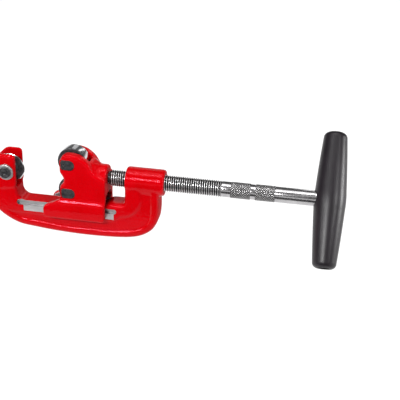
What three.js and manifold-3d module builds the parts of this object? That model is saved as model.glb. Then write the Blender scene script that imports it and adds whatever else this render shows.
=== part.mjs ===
// Heavy-duty pipe cutter: a cast C-frame with a cutting wheel in its fork head, a carriage with two
// rollers that slides on the frame's rail, and a threaded spindle with a T-handle that drives it.
// Millimetres, +Z up, X along the spindle towards the handle. The origin is the centre of the pipe
// that the jaw holds, level with the spindle.
import * as THREE from "three";
import { mergeVertices } from "three/addons/utils/BufferGeometryUtils.js";
import { ConvexGeometry } from "three/addons/geometries/ConvexGeometry.js";
import Module from "manifold-3d";

const wasm = await Module();
wasm.setup();

// ---- driving dimensions ----
const GAP = 0.3; // left between pieces that are fixed to each other
const ROUND = 36; // sides of a large turned piece
const ROUND_SMALL = 24; // sides of a small turned piece
const LONG = 400; // a cutter longer than anything it passes through

// frame casting
const FRAME_HALF = 12.5;
const FRAME_EDGE = 3.6;
const HEAD_HALF = 13.5;
const HEAD_EDGE = 2.4;
const HEAD_TOP = 19.2;
const HEAD_RIGHT = -27;
const FORK_SLOT_HALF = 9.1;
const BAR_TOP_JAW = -31.6;
const BAR_TOP_RIGHT = -25;
const COLUMN_LEFT = 89.3;
const BOSS_RIGHT = 130.2;
const BOSS_R = 14;
const BOSS_EDGE = 3.2;
const BOSS_BORE_R = 8.95;

// machined rail in the frame's sides
const RAIL_LEFT = -20;
const RAIL_RIGHT = 78.4;
const RAIL_TOP = -36.3;
const RAIL_BOTTOM = -43;
const RAIL_HALF = 12.1;
const GROOVE_LEFT = -27;
const GROOVE_RIGHT = 81.2;
const GROOVE_TOP = -30.8;
const GROOVE_HALF = 9.4;

// cutting wheel and its pin
const WHEEL_X = -37;
const WHEEL_R = 15.8;
const WHEEL_HUB_R = 8.6;
const WHEEL_HUB_HALF = 8.8;
const WHEEL_PIN_R = 4.75;
const WHEEL_PIN_HEAD_R = 5.9;
const WHEEL_PIN_WASHER_R = 8.3;
const WHEEL_POCKET_R = 18.2;

// rollers and their pins
const ROLLER_X = 32.8;
const ROLLER_Z = 15.8;
const ROLLER_R = 15.2;
const ROLLER_HALF = 7;
const ROLLER_PIN_R = 4.75;
const PIN_HEAD_HIGH = 10.6;
const PIN_HEAD_LEFT = 23.6;
const PIN_HEAD_RIGHT = 38.1;
const PIN_SEAT_DEPTH = 2.2;
const RUNNING = 0.09; // radial clearance of a piece that turns on a pin

// carriage casting
const CHEEK_HALF = 17.4;
const CHEEK_EDGE = 3.6;
const CHEEK_LEFT = 21.8;
const ROLLER_SLOT_HALF = 7.6;
const ROLLER_SLOT_RIGHT = 51.5;
const SKIRT_HALF = 20.6;
const SKIRT_INSIDE = 12.9;
const SKIRT_LEFT = 4.4;
const SKIRT_RIGHT = 69.7;
const SKIRT_BOTTOM = -44.6;
const SKIRT_CREASE = -33.6;
const SKIRT_SHOULDER = -24.5;
const TONGUE_LEFT = 14;
const TONGUE_RIGHT = 58;
const TONGUE_HALF = 9.8;
const SOCKET_R = 14;
const SOCKET_RIGHT = 70;
const BODY_RIGHT = 70.2; // the end face under the socket, which meets the column at full travel
const SOCKET_BORE_R = 5.9;
const SOCKET_FLOOR = 54.5;

// spindle
const NOSE_R = 5.3;
const NOSE_LEFT = 57;
const NECK_GROOVE_R = 3.9;
const DOWEL_X = 62;
const DOWEL_R = 2;
const DOWEL_Y = 6.05;
const DOWEL_TOP = 9.6; // the dowels go in from below and stop short of the socket's top
const DOWEL_BOTTOM = -12.4;
const THREAD_LEFT = 72;
const THREAD_RIGHT = 188.9;
const THREAD_R = 8.6;
const THREAD_ROOT_R = 7.35;
const SHANK_R = 8.1;
const KNURL_R = 8.35;
const KNURLS = [
  [198.6, 218.7],
  [223.9, 243.8],
];
const SPINDLE_RIGHT = 308.5;

// handle
const HANDLE_X = 299.4;
const HANDLE_TILT = 35; // degrees that the handle leans from upright at rest, top away from the front
const HANDLE_HALF = 70;
const HANDLE_MIDDLE_R = 16.25;
const HANDLE_END_R = 12;
const CORE_R = 4.8;
const CORE_HALF = 63;
const PLUG_R = 7.6;
const LOCK_PIN_R = 1.8;

// ---- solids ----
function toSolid(geometry) {
  const bare = geometry.clone();
  bare.deleteAttribute("normal");
  bare.deleteAttribute("uv");
  const merged = mergeVertices(bare, 1e-4);
  const mesh = new wasm.Mesh({
    numProp: 3,
    vertProperties: merged.attributes.position.array,
    triVerts: new Uint32Array(merged.index.array),
  });
  return new wasm.Manifold(mesh);
}

function toGeometry(solid) {
  const mesh = solid.getMesh();
  const geometry = new THREE.BufferGeometry();
  const position = new THREE.BufferAttribute(new Float32Array(mesh.vertProperties), 3);
  geometry.setAttribute("position", position);
  geometry.setIndex(new THREE.BufferAttribute(new Uint32Array(mesh.triVerts), 1));
  const flat = geometry.toNonIndexed();
  flat.computeVertexNormals();
  return flat;
}

function union(...solids) {
  return solids.reduce((whole, next) => whole.add(next));
}

function cut(solid, ...cutters) {
  return cutters.reduce((left, cutter) => left.subtract(cutter), solid);
}

/** A box from its low corner to its high corner. */
function box([x0, y0, z0], [x1, y1, z1]) {
  const geometry = new THREE.BoxGeometry(x1 - x0, y1 - y0, z1 - z0);
  geometry.translate((x0 + x1) / 2, (y0 + y1) / 2, (z0 + z1) / 2);
  return toSolid(geometry);
}

/** The outline through the corners [a, b, radius], each corner rounded to its radius. */
function roundedOutline(corners, stepDegrees = 15) {
  const points = [];
  corners.forEach(([a, b, radius = 0], i) => {
    const corner = new THREE.Vector2(a, b);
    if (!radius) {
      points.push(corner);
      return;
    }
    const before = corners.at(i - 1);
    const after = corners[(i + 1) % corners.length];
    const back = new THREE.Vector2(before[0] - a, before[1] - b).normalize();
    const ahead = new THREE.Vector2(after[0] - a, after[1] - b).normalize();
    const opening = Math.acos(THREE.MathUtils.clamp(back.dot(ahead), -1, 1));
    const middle = back.clone().add(ahead).normalize();
    const centre = corner.clone().addScaledVector(middle, radius / Math.sin(opening / 2));
    const start = corner.clone().addScaledVector(back, radius / Math.tan(opening / 2));
    const side = Math.sign(back.x * ahead.y - back.y * ahead.x);
    const turn = -side * (Math.PI - opening);
    const steps = Math.max(1, Math.ceil(Math.abs(turn) / THREE.MathUtils.degToRad(stepDegrees)));
    for (let k = 0; k <= steps; k++) {
      points.push(start.clone().rotateAround(centre, (turn * k) / steps));
    }
  });
  return points;
}

/** A smooth line through the given [a, b] points, without its last point. */
function smoothLine(points, pieces) {
  const curve = new THREE.SplineCurve(points.map(([a, b]) => new THREE.Vector2(a, b)));
  return curve.getPoints(pieces).slice(0, -1);
}

/** A plate in the XZ plane, centred on Y = 0, with rounded front and back edges. */
function plate(outline, half, edge, steps = 2) {
  const depth = 2 * (half - edge);
  const geometry = new THREE.ExtrudeGeometry(new THREE.Shape(outline), {
    depth,
    bevelEnabled: edge > 0,
    bevelThickness: edge,
    bevelSize: edge,
    bevelOffset: -edge,
    bevelSegments: steps,
  });
  geometry.translate(0, 0, -depth / 2);
  geometry.rotateX(Math.PI / 2);
  return toSolid(geometry);
}

/** A bar along X from one station to another, with its outline in the YZ plane. */
function barAlongX(outline, from, to) {
  const geometry = new THREE.ExtrudeGeometry(new THREE.Shape(outline), {
    depth: to - from,
    bevelEnabled: false,
  });
  const turned = new THREE.Matrix4().makeBasis(
    new THREE.Vector3(0, 1, 0),
    new THREE.Vector3(0, 0, 1),
    new THREE.Vector3(1, 0, 0),
  );
  geometry.applyMatrix4(turned);
  geometry.translate(from, 0, 0);
  return toSolid(geometry);
}

/** A turned piece about its own Y axis, from a profile of [radius, station] with rising stations. */
function turned(profile, sides = ROUND) {
  const points = profile.map(([r, at]) => new THREE.Vector2(r, at));
  return new THREE.LatheGeometry(points, sides);
}

/** A turned piece about X at the spindle's height. */
function turnedAboutX(profile, sides = ROUND) {
  return toSolid(turned(profile, sides).rotateZ(-Math.PI / 2));
}

/** A turned piece about Y, with its axis through (x, z). */
function turnedAboutY(profile, x, z, sides = ROUND) {
  return toSolid(turned(profile, sides).translate(x, 0, z));
}

/** The profile of a plain rod with both ends chamfered. */
function rodProfile(radius, from, to, chamfer = 0) {
  if (!chamfer) {
    return [[0, from], [radius, from], [radius, to], [0, to]];
  }
  return [
    [0, from],
    [radius - chamfer, from],
    [radius, from + chamfer],
    [radius, to - chamfer],
    [radius - chamfer, to],
    [0, to],
  ];
}

/** The closed profile of a ring with both edges chamfered, inside and out. */
function ringProfile(inner, outer, from, to, chamfer) {
  return [
    [inner, from + chamfer],
    [inner + chamfer, from],
    [outer - chamfer, from],
    [outer, from + chamfer],
    [outer, to - chamfer],
    [outer - chamfer, to],
    [inner + chamfer, to],
    [inner, to - chamfer],
    [inner, from + chamfer],
  ];
}

// ---- frame ----
function frameOutline() {
  const inside = roundedOutline([
    [HEAD_RIGHT, HEAD_TOP - 9],
    [HEAD_RIGHT, BAR_TOP_JAW, 9],
    [64, BAR_TOP_JAW, 8],
    [73, BAR_TOP_RIGHT, 8],
    [COLUMN_LEFT, BAR_TOP_RIGHT, 3],
    [COLUMN_LEFT, 1],
  ]).slice(1, -1);
  const outside = smoothLine(
    [
      [125.6, 0],
      [125.3, -14],
      [125.8, -27],
      [125.3, -36],
      [123.7, -43.4],
      [117.6, -52.8],
      [104.8, -60.4],
      [85.2, -64],
      [52.4, -65.4],
      [19.3, -64.5],
      [-7.5, -62.2],
      [-28, -58.9],
      [-47.4, -47.4],
      [-58.2, -30.5],
      [-60.7, -12],
      [-59, 2],
    ],
    35,
  );
  return [
    new THREE.Vector2(HEAD_RIGHT, 8),
    ...inside,
    new THREE.Vector2(COLUMN_LEFT, 0),
    ...outside,
    new THREE.Vector2(-57.5, 4),
    new THREE.Vector2(-52, 8),
  ];
}

function forkHead() {
  const outline = roundedOutline([
    [HEAD_RIGHT, -18, 5],
    [HEAD_RIGHT, HEAD_TOP, 4],
    [-44, HEAD_TOP, 9],
    [-59.5, 4, 8],
    [-60.2, -12, 8],
    [-50, -21, 8],
  ]);
  return plate(outline, HEAD_HALF, HEAD_EDGE);
}

function forkSlot() {
  const pocket = turnedAboutY(rodProfile(WHEEL_POCKET_R, -FORK_SLOT_HALF, FORK_SLOT_HALF), WHEEL_X, 0, 40);
  const above = box([-LONG, -FORK_SLOT_HALF, 2], [WHEEL_X, FORK_SLOT_HALF, 40]);
  const ahead = box([WHEEL_X, -FORK_SLOT_HALF, -WHEEL_POCKET_R], [0, FORK_SLOT_HALF, 40]);
  return union(pocket, above, ahead);
}

function boss() {
  const from = COLUMN_LEFT;
  const to = BOSS_RIGHT;
  const shoulder = BOSS_EDGE * (1 - Math.SQRT1_2);
  return turnedAboutX([
    [0, from],
    [BOSS_R - BOSS_EDGE, from],
    [BOSS_R - shoulder, from + shoulder],
    [BOSS_R, from + BOSS_EDGE],
    [BOSS_R, to - BOSS_EDGE],
    [BOSS_R - shoulder, to - shoulder],
    [BOSS_R - BOSS_EDGE, to],
    [0, to],
  ]);
}

/** What is milled away on one side of the bar: the flat rail face and the groove above it. */
function railCutter(side) {
  const outer = FRAME_HALF + 2;
  const span = (half) => (side > 0 ? [half, outer] : [-outer, -half]);
  const [faceNear, faceFar] = span(RAIL_HALF);
  const [grooveNear, grooveFar] = span(GROOVE_HALF);
  const endR = (GROOVE_TOP - RAIL_TOP) / 2;
  const middle = RAIL_TOP + endR;
  const face = box([RAIL_LEFT, faceNear, RAIL_BOTTOM], [RAIL_RIGHT, faceFar, RAIL_TOP + 0.5]);
  const groove = box([GROOVE_LEFT + endR, grooveNear, RAIL_TOP], [GROOVE_RIGHT - endR, grooveFar, GROOVE_TOP]);
  const runOut = (x) => turnedAboutY(rodProfile(endR, grooveNear, grooveFar), x, middle, 16);
  return union(face, groove, runOut(GROOVE_LEFT + endR), runOut(GROOVE_RIGHT - endR));
}

function frame() {
  const body = union(plate(frameOutline(), FRAME_HALF, FRAME_EDGE), forkHead(), boss());
  return cut(
    body,
    forkSlot(),
    turnedAboutX(rodProfile(BOSS_BORE_R, COLUMN_LEFT - 20, BOSS_RIGHT + 20)),
    turnedAboutY(rodProfile(WHEEL_PIN_R + GAP, -30, 30), WHEEL_X, 0, ROUND_SMALL),
    railCutter(-1),
    railCutter(1),
  );
}

// ---- cutting wheel ----
function cuttingWheel() {
  const hub = WHEEL_HUB_HALF;
  const bore = WHEEL_PIN_R + RUNNING;
  return turnedAboutY(
    [
      [bore, -hub],
      [WHEEL_HUB_R - 0.8, -hub],
      [WHEEL_HUB_R, -hub + 0.8],
      [WHEEL_HUB_R, -3.4],
      [WHEEL_HUB_R + 0.9, -2.3],
      [WHEEL_R - 3.2, -1.5],
      [WHEEL_R, 0],
      [WHEEL_R - 3.2, 1.5],
      [WHEEL_HUB_R + 0.9, 2.3],
      [WHEEL_HUB_R, 3.4],
      [WHEEL_HUB_R, hub - 0.8],
      [WHEEL_HUB_R - 0.8, hub],
      [bore, hub],
      [bore, -hub],
    ],
    WHEEL_X,
    0,
  );
}

const WHEEL_PIN_FRONT = -HEAD_HALF - 3.4;
const WHEEL_PIN_HEAD_BACK = -HEAD_HALF - 1.5;
const WHEEL_PIN_BACK = HEAD_HALF + 3.2;
const CLIP_THICK = 1;
const CLIP_SLACK = 0.3;

function pinWithClipGroove(radius, from, to, grooveFrom) {
  const root = radius - 1;
  return [
    [radius, from],
    [radius, grooveFrom],
    [root, grooveFrom],
    [root, grooveFrom + CLIP_THICK + 0.6],
    [radius, grooveFrom + CLIP_THICK + 0.6],
    [radius, to - 0.6],
    [radius - 0.6, to],
    [0, to],
  ];
}

function wheelPin() {
  const r = WHEEL_PIN_HEAD_R;
  return turnedAboutY(
    [
      [0, WHEEL_PIN_FRONT],
      [r - 0.9, WHEEL_PIN_FRONT],
      [r, WHEEL_PIN_FRONT + 0.7],
      [r, WHEEL_PIN_HEAD_BACK],
      ...pinWithClipGroove(WHEEL_PIN_R, WHEEL_PIN_HEAD_BACK, WHEEL_PIN_BACK, HEAD_HALF + CLIP_SLACK),
    ],
    WHEEL_X,
    0,
    36,
  );
}

function wheelPinWasher() {
  const from = -HEAD_HALF - 1.3;
  const to = -HEAD_HALF - 0.2;
  return turnedAboutY(ringProfile(WHEEL_PIN_R + GAP, WHEEL_PIN_WASHER_R, from, to, 0.25), WHEEL_X, 0, 36);
}

/** A snap ring in a pin's groove, open at the bottom. */
function snapRing(pinR, x, z, from) {
  const inner = pinR - 1 + 0.3;
  const outer = pinR + 2;
  const ring = turnedAboutY(
    [[inner, from], [outer, from], [outer, from + CLIP_THICK], [inner, from + CLIP_THICK], [inner, from]],
    x,
    z,
    ROUND_SMALL,
  );
  const mouth = box([x - 1.6, from - 1, z - outer - 1], [x + 1.6, from + 3, z]);
  return cut(ring, mouth);
}

// ---- carriage ----
function cheekOutline() {
  return [
    ...roundedOutline([
      [CHEEK_LEFT, -26],
      [CHEEK_LEFT, -9, 5],
      [27.4, -1.5, 6],
      [CHEEK_LEFT, 7, 5],
      [CHEEK_LEFT, 19, 4],
      [24, 23.6],
    ]),
    ...smoothLine(
      [
        [26.6, 26.3],
        [32, 27.6],
        [38, 26.9],
        [43, 25.4],
        [47, 23.1],
        [51, 19.8],
        [54.2, 15.9],
        [57.4, 10.8],
        [62, 6.6],
        [BODY_RIGHT, 3.6],
        [BODY_RIGHT + 6, 2.6],
      ],
      17,
    ),
    new THREE.Vector2(BODY_RIGHT + 6, 2.6),
    new THREE.Vector2(BODY_RIGHT + 6, -26),
  ].reverse();
}

/** The cast shape that runs from the full width of the cheeks down to the round socket. */
function shoulders() {
  const points = [];
  const add = (x, y, z) => points.push(new THREE.Vector3(x, y, z), new THREE.Vector3(x, -y, z));
  add(44, CHEEK_HALF - 3.4, 20.5);
  add(44, CHEEK_HALF - 1.1, 17.6);
  add(44, CHEEK_HALF, 12);
  add(44, CHEEK_HALF, -27);
  add(57, CHEEK_HALF - 1.2, 7);
  add(BODY_RIGHT, CHEEK_HALF - 3, -27);
  add(BODY_RIGHT, CHEEK_HALF - 3, -4);
  add(BODY_RIGHT - 1.4, SOCKET_R, 3);
  for (let k = 0; k <= 6; k++) {
    const angle = (Math.PI * k) / 12;
    add(61, (SOCKET_R + 0.4) * Math.cos(angle), (SOCKET_R + 0.4) * Math.sin(angle));
  }
  return toSolid(new ConvexGeometry(points));
}

function socket() {
  const edge = 3;
  const to = SOCKET_RIGHT;
  const shoulder = edge * (1 - Math.SQRT1_2);
  return turnedAboutX([
    [0, 46],
    [SOCKET_R, 46],
    [SOCKET_R, to - edge],
    [SOCKET_R - shoulder, to - shoulder],
    [SOCKET_R - edge, to],
    [0, to],
  ]);
}

/** The skirt's cross-section on one side, flaring out below the cheeks to the vertical lip. */
function skirtSection(side) {
  const outline = roundedOutline([
    [SKIRT_INSIDE, SKIRT_SHOULDER + 5],
    [SKIRT_INSIDE, SKIRT_BOTTOM, 0.8],
    [SKIRT_HALF - 1.2, SKIRT_BOTTOM, 1.6],
    [SKIRT_HALF, SKIRT_CREASE, 6],
    [CHEEK_HALF, SKIRT_SHOULDER, 4],
    [CHEEK_HALF - 0.4, SKIRT_SHOULDER + 5],
  ]);
  return side > 0 ? outline : outline.map((p) => new THREE.Vector2(-p.x, p.y)).reverse();
}

/** The side view that trims the skirt: sloping top at the left, rounded lower corners. */
function skirtTrim() {
  const outline = roundedOutline([
    [SKIRT_LEFT, SKIRT_BOTTOM - 0.1, 3],
    [SKIRT_RIGHT, SKIRT_BOTTOM - 0.1, 3],
    [SKIRT_RIGHT, -22, 2.5],
    [60, -17],
    [26, -17],
    [CHEEK_LEFT - 1.2, -24, 5],
    [SKIRT_LEFT, -31, 5],
  ]);
  return plate(outline, 30, 0);
}

function skirts() {
  const both = union(
    barAlongX(skirtSection(-1), SKIRT_LEFT - 2, SKIRT_RIGHT + 2),
    barAlongX(skirtSection(1), SKIRT_LEFT - 2, SKIRT_RIGHT + 2),
  );
  return both.intersect(skirtTrim());
}

/** The channel that straddles the bar, with its higher vault below the socket. */
function channel() {
  const inside = SKIRT_INSIDE;
  const low = barAlongX(
    roundedOutline([[-inside, -60], [inside, -60], [inside, SKIRT_SHOULDER, 1.5], [-inside, SKIRT_SHOULDER, 1.5]]),
    -LONG,
    LONG,
  );
  const vault = barAlongX(
    roundedOutline([[-inside, -60], [inside, -60], [inside, -22], [8, -16.5, 3], [-8, -16.5, 3], [-inside, -22]]),
    ROLLER_SLOT_RIGHT + 4,
    LONG,
  );
  return union(low, vault);
}

function tongue(side) {
  const inner = TONGUE_HALF;
  const outer = SKIRT_INSIDE + 1;
  const near = side > 0 ? inner : -outer;
  const far = side > 0 ? outer : -inner;
  return box([TONGUE_LEFT, near, RAIL_TOP + 0.45], [TONGUE_RIGHT, far, GROOVE_TOP - 0.45]);
}

/** Cuts the open-ended seat for a roller pin's flat head in the front cheek. */
function pinSeatCutter(z) {
  const half = 4;
  const high = PIN_HEAD_HIGH / 2 + GAP;
  const right = PIN_HEAD_RIGHT + GAP;
  const outline = roundedOutline([
    [10, z - high],
    [right, z - high, high - 0.4],
    [right, z + high, high - 0.4],
    [10, z + high],
  ]);
  const seat = plate(outline, half, 0);
  return seat.translate([0, -CHEEK_HALF + PIN_SEAT_DEPTH - half, 0]);
}

function uprightRod(y, radius, from, to) {
  const rod = turned(rodProfile(radius, from, to), 20);
  rod.rotateX(Math.PI / 2);
  rod.translate(DOWEL_X, y, 0);
  return toSolid(rod);
}

function carriage() {
  const pastEnd = box([BODY_RIGHT, -LONG, -LONG], [LONG, LONG, LONG]);
  const cheeks = cut(plate(cheekOutline(), CHEEK_HALF, CHEEK_EDGE), pastEnd);
  const body = cut(union(cheeks, shoulders(), socket(), skirts()), channel());
  const rollerSlot = box([-20, -ROLLER_SLOT_HALF, -40], [ROLLER_SLOT_RIGHT, ROLLER_SLOT_HALF, 40]);
  const pinHole = (z) =>
    turnedAboutY(rodProfile(ROLLER_PIN_R + GAP, -LONG, LONG), ROLLER_X, z, ROUND_SMALL);
  const spindleBore = turnedAboutX(rodProfile(SOCKET_BORE_R, SOCKET_FLOOR, 90), 36);
  return cut(
    union(body, tongue(-1), tongue(1)),
    rollerSlot,
    pinHole(ROLLER_Z),
    pinHole(-ROLLER_Z),
    pinSeatCutter(ROLLER_Z),
    pinSeatCutter(-ROLLER_Z),
    spindleBore,
    uprightRod(DOWEL_Y, DOWEL_R + GAP, -LONG, DOWEL_TOP + GAP),
    uprightRod(-DOWEL_Y, DOWEL_R + GAP, -LONG, DOWEL_TOP + GAP),
  );
}

// ---- rollers ----
function roller(z) {
  const bore = ROLLER_PIN_R + RUNNING;
  return turnedAboutY(ringProfile(bore, ROLLER_R, -ROLLER_HALF, ROLLER_HALF, 0.9), ROLLER_X, z);
}

function rollerPin(z) {
  const front = -CHEEK_HALF + 0.3;
  const headBack = -CHEEK_HALF + PIN_SEAT_DEPTH - GAP;
  const half = (headBack - front) / 2;
  const high = PIN_HEAD_HIGH / 2;
  const outline = roundedOutline([
    [PIN_HEAD_LEFT, z - high, 3],
    [PIN_HEAD_RIGHT, z - high, high - 0.4],
    [PIN_HEAD_RIGHT, z + high, high - 0.4],
    [PIN_HEAD_LEFT, z + high, 3],
  ]);
  const head = plate(outline, half, 0).translate([0, front + half, 0]);
  const shank = turnedAboutY(
    [
      [0, front + half],
      ...pinWithClipGroove(ROLLER_PIN_R, front + half, CHEEK_HALF + 3.2, CHEEK_HALF + CLIP_SLACK),
    ],
    ROLLER_X,
    z,
    36,
  );
  return union(head, shank);
}

// ---- spindle ----
function spindle() {
  const profile = [
    [0, NOSE_LEFT],
    [NOSE_R - 1.2, NOSE_LEFT],
    [NOSE_R, NOSE_LEFT + 1.2],
    [NOSE_R, DOWEL_X - DOWEL_R - 0.3],
    [NECK_GROOVE_R, DOWEL_X - DOWEL_R - 0.3],
    [NECK_GROOVE_R, DOWEL_X + DOWEL_R + 0.3],
    [NOSE_R, DOWEL_X + DOWEL_R + 0.3],
    [NOSE_R, THREAD_LEFT],
    [THREAD_ROOT_R, THREAD_LEFT],
    [THREAD_R, THREAD_LEFT + 1.4],
    [THREAD_R, THREAD_RIGHT - 0.9],
    [SHANK_R, THREAD_RIGHT],
  ];
  for (const [from, to] of KNURLS) {
    profile.push([SHANK_R, from], [KNURL_R, from + 0.4], [KNURL_R, to - 0.4], [SHANK_R, to]);
  }
  profile.push([SHANK_R, SPINDLE_RIGHT - 1], [SHANK_R - 1, SPINDLE_RIGHT], [0, SPINDLE_RIGHT]);
  return cut(turnedAboutX(profile), crossRod(CORE_R + GAP, -20, 20), lockHole(LOCK_PIN_R + GAP, LONG));
}

function thrustDisc() {
  const disc = rodProfile(SOCKET_BORE_R - GAP, SOCKET_FLOOR + 0.2, NOSE_LEFT - 0.2, 0.4);
  return turnedAboutX(disc, 32);
}

// ---- handle ----
/** Puts a piece that was turned about Y onto the handle's leaning axis. */
function ontoHandle(geometry) {
  geometry.rotateX(Math.PI / 2);
  geometry.rotateX(THREE.MathUtils.degToRad(-HANDLE_TILT));
  geometry.translate(HANDLE_X, 0, 0);
  return toSolid(geometry);
}

function crossRod(radius, from, to) {
  return ontoHandle(turned(rodProfile(radius, from, to), ROUND_SMALL));
}

/** A rod square to both the spindle and the handle's axis. */
function lockHole(radius, half) {
  const rod = turned(rodProfile(radius, -half, half), 20);
  rod.rotateX(THREE.MathUtils.degToRad(-HANDLE_TILT));
  rod.translate(HANDLE_X, 0, 0);
  return toSolid(rod);
}

function gripProfile() {
  const end = HANDLE_HALF;
  const recess = PLUG_R + GAP;
  const half = [];
  const edge = 4;
  half.push([recess, end], [HANDLE_END_R - edge, end]);
  for (let k = 1; k <= 4; k++) {
    const angle = (Math.PI / 2) * (k / 4) * 0.93;
    half.push([HANDLE_END_R - edge + edge * Math.sin(angle), end - edge + edge * Math.cos(angle)]);
  }
  half.push([13.6, 46], [14.9, 28], [15.8, 13]);
  const outer = [...half.map(([r, at]) => [r, -at]), [HANDLE_MIDDLE_R, 0], ...half.slice().reverse()];
  const inner = [
    [recess, end - 6],
    [CORE_R + GAP, end - 6],
    [CORE_R + GAP, -end + 6],
    [recess, -end + 6],
    [recess, -end],
  ];
  return [...outer, ...inner];
}

function grip() {
  const body = ontoHandle(turned(gripProfile(), 32));
  const spindleHole = turnedAboutX(rodProfile(SHANK_R + GAP, 250, SPINDLE_RIGHT + 0.8), 40);
  return cut(body, spindleHole);
}

function core() {
  const rod = ontoHandle(turned(rodProfile(CORE_R, -CORE_HALF, CORE_HALF, 0.6), ROUND_SMALL));
  return cut(rod, lockHole(LOCK_PIN_R + GAP, 20));
}

function endPlug(side) {
  const inner = HANDLE_HALF - 5.6;
  const outer = HANDLE_HALF - 1.1;
  const from = side > 0 ? inner : -outer;
  const to = side > 0 ? outer : -inner;
  return ontoHandle(turned(rodProfile(PLUG_R, from, to, 0.5), 32));
}

// ---- materials ----
const paint = { color: 0xd0021b, roughness: 0.28, metalness: 0 };
const machined = { color: 0xb9b6b8, roughness: 0.35, metalness: 1 };
const polished = { color: 0xc4c4c8, roughness: 0.18, metalness: 1 };
const blackened = { color: 0x4a4c50, roughness: 0.5, metalness: 0.6 };
const plastic = { color: 0x2b2a2d, roughness: 0.45, metalness: 0 };

const part = new THREE.Group();
part.name = "pipe_cutter";

function addPiece(name, solid, look) {
  const mesh = new THREE.Mesh(toGeometry(solid), new THREE.MeshStandardMaterial(look));
  mesh.name = name;
  part.add(mesh);
}

addPiece("frame", frame(), paint);
addPiece("cutting_wheel", cuttingWheel(), polished);
addPiece("wheel_pin", wheelPin(), blackened);
addPiece("wheel_pin_washer", wheelPinWasher(), machined);
addPiece("wheel_pin_clip", snapRing(WHEEL_PIN_R, WHEEL_X, 0, HEAD_HALF + CLIP_SLACK + 0.3), blackened);
addPiece("carriage", carriage(), paint);
for (const [name, z] of [["upper", ROLLER_Z], ["lower", -ROLLER_Z]]) {
  const clipAt = CHEEK_HALF + CLIP_SLACK + 0.3;
  addPiece(`roller_${name}`, roller(z), polished);
  addPiece(`roller_pin_${name}`, rollerPin(z), blackened);
  addPiece(`roller_clip_${name}`, snapRing(ROLLER_PIN_R, ROLLER_X, z, clipAt), blackened);
}
addPiece("spindle", spindle(), machined);
addPiece("thrust_disc", thrustDisc(), polished);
addPiece("spindle_dowel_front", uprightRod(-DOWEL_Y, DOWEL_R, DOWEL_BOTTOM, DOWEL_TOP), blackened);
addPiece("spindle_dowel_back", uprightRod(DOWEL_Y, DOWEL_R, DOWEL_BOTTOM, DOWEL_TOP), blackened);
addPiece("handle_grip", grip(), plastic);
addPiece("handle_core", core(), machined);
addPiece("handle_lock_pin", lockHole(LOCK_PIN_R, 7), blackened);
addPiece("handle_plug_upper", endPlug(1), plastic);
addPiece("handle_plug_lower", endPlug(-1), plastic);

export default part;
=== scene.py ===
"""Looks of a heavy-duty pipe cutter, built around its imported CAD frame.

Metres, in the CAD model's frame: X along the spindle, Y along the pipe, Z up. Lengths in the shape
functions are millimetres, and mesh_object() turns them into metres.
"""

import math

import bmesh
import bpy
from mathutils import Euler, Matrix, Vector, kdtree


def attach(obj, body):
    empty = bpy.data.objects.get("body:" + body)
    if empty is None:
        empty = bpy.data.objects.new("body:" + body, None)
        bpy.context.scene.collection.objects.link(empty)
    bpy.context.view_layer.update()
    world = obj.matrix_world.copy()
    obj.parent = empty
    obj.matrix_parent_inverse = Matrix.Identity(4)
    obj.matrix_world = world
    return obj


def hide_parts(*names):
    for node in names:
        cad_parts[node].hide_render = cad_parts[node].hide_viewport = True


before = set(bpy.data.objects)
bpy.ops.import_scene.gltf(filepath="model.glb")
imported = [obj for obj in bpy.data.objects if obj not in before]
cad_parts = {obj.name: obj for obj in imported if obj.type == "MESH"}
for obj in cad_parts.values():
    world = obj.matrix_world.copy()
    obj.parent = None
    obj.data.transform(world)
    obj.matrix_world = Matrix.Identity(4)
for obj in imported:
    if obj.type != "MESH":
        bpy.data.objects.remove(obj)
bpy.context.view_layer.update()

MM = 0.001

# ---- camera, in metres, degrees and millimetres of lens ----
CAMERA_PLACE = (0.25209, -0.69679, 0.30951)
CAMERA_TURN = (65.15, -2.7256, 8.2058)
CAMERA_LENS = 67.0

# ---- floor and card, in millimetres ----
FLOOR_Z = -67
FLOOR_REACH = 20000
FLOOR_GLOW = 0.97
CARD_LEFT = -150
CARD_RIGHT = 380
CARD_FAR = -450  # the card's edge on the camera's side
CARD_NEAR = -70  # the card's edge on the cutter's side

# ---- lights, in metres and watts: name, place, target, size, power ----
LIGHTS = (
    ("overhead", (0.12, -0.1, 1.1), (0.12, -0.1, 0), (1.5, 0.72), 6),
    ("overhead_strip", (0.05, -0.2, 1.05), (0.05, 0, 0), (1.0, 0.05), 3.6),
    ("key", (-0.33, -1.2, 0.76), (0.04, 0, -0.01), (0.5, 0.05), 17.5),
    ("side", (1.37, 0.1, 0.25), (0.3, 0, 0), (0.3, 0.26), 9),
    ("front_right", (1.02, -0.64, 0.72), (0.3, 0, 0), (0.22, 0.22), 5),
    ("front_top", (0.36, -0.8, 0.84), (0.3, 0, 0), (0.2, 0.2), 0.15),
    ("back_left", (-0.16, 1.1, 0.56), (0.03, 0, 0.02), (0.3, 0.5), 0.25),
    ("back_right", (0.353, 1.06, 0.476), (0.03, 0, 0.02), (0.14, 0.5), 0.35),
    ("fill", (-0.66, -0.65, 0.55), (0.1, 0, 0), (0.22, 0.22), 2.6),
)

# The sky's greys from straight below (0) to straight above (1): white up to the horizon, dark over it.
SKY_TONES = [(0.0, 0.97), (0.515, 0.97), (0.56, 0.14), (0.75, 0.11), (1.0, 0.16)]

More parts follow.
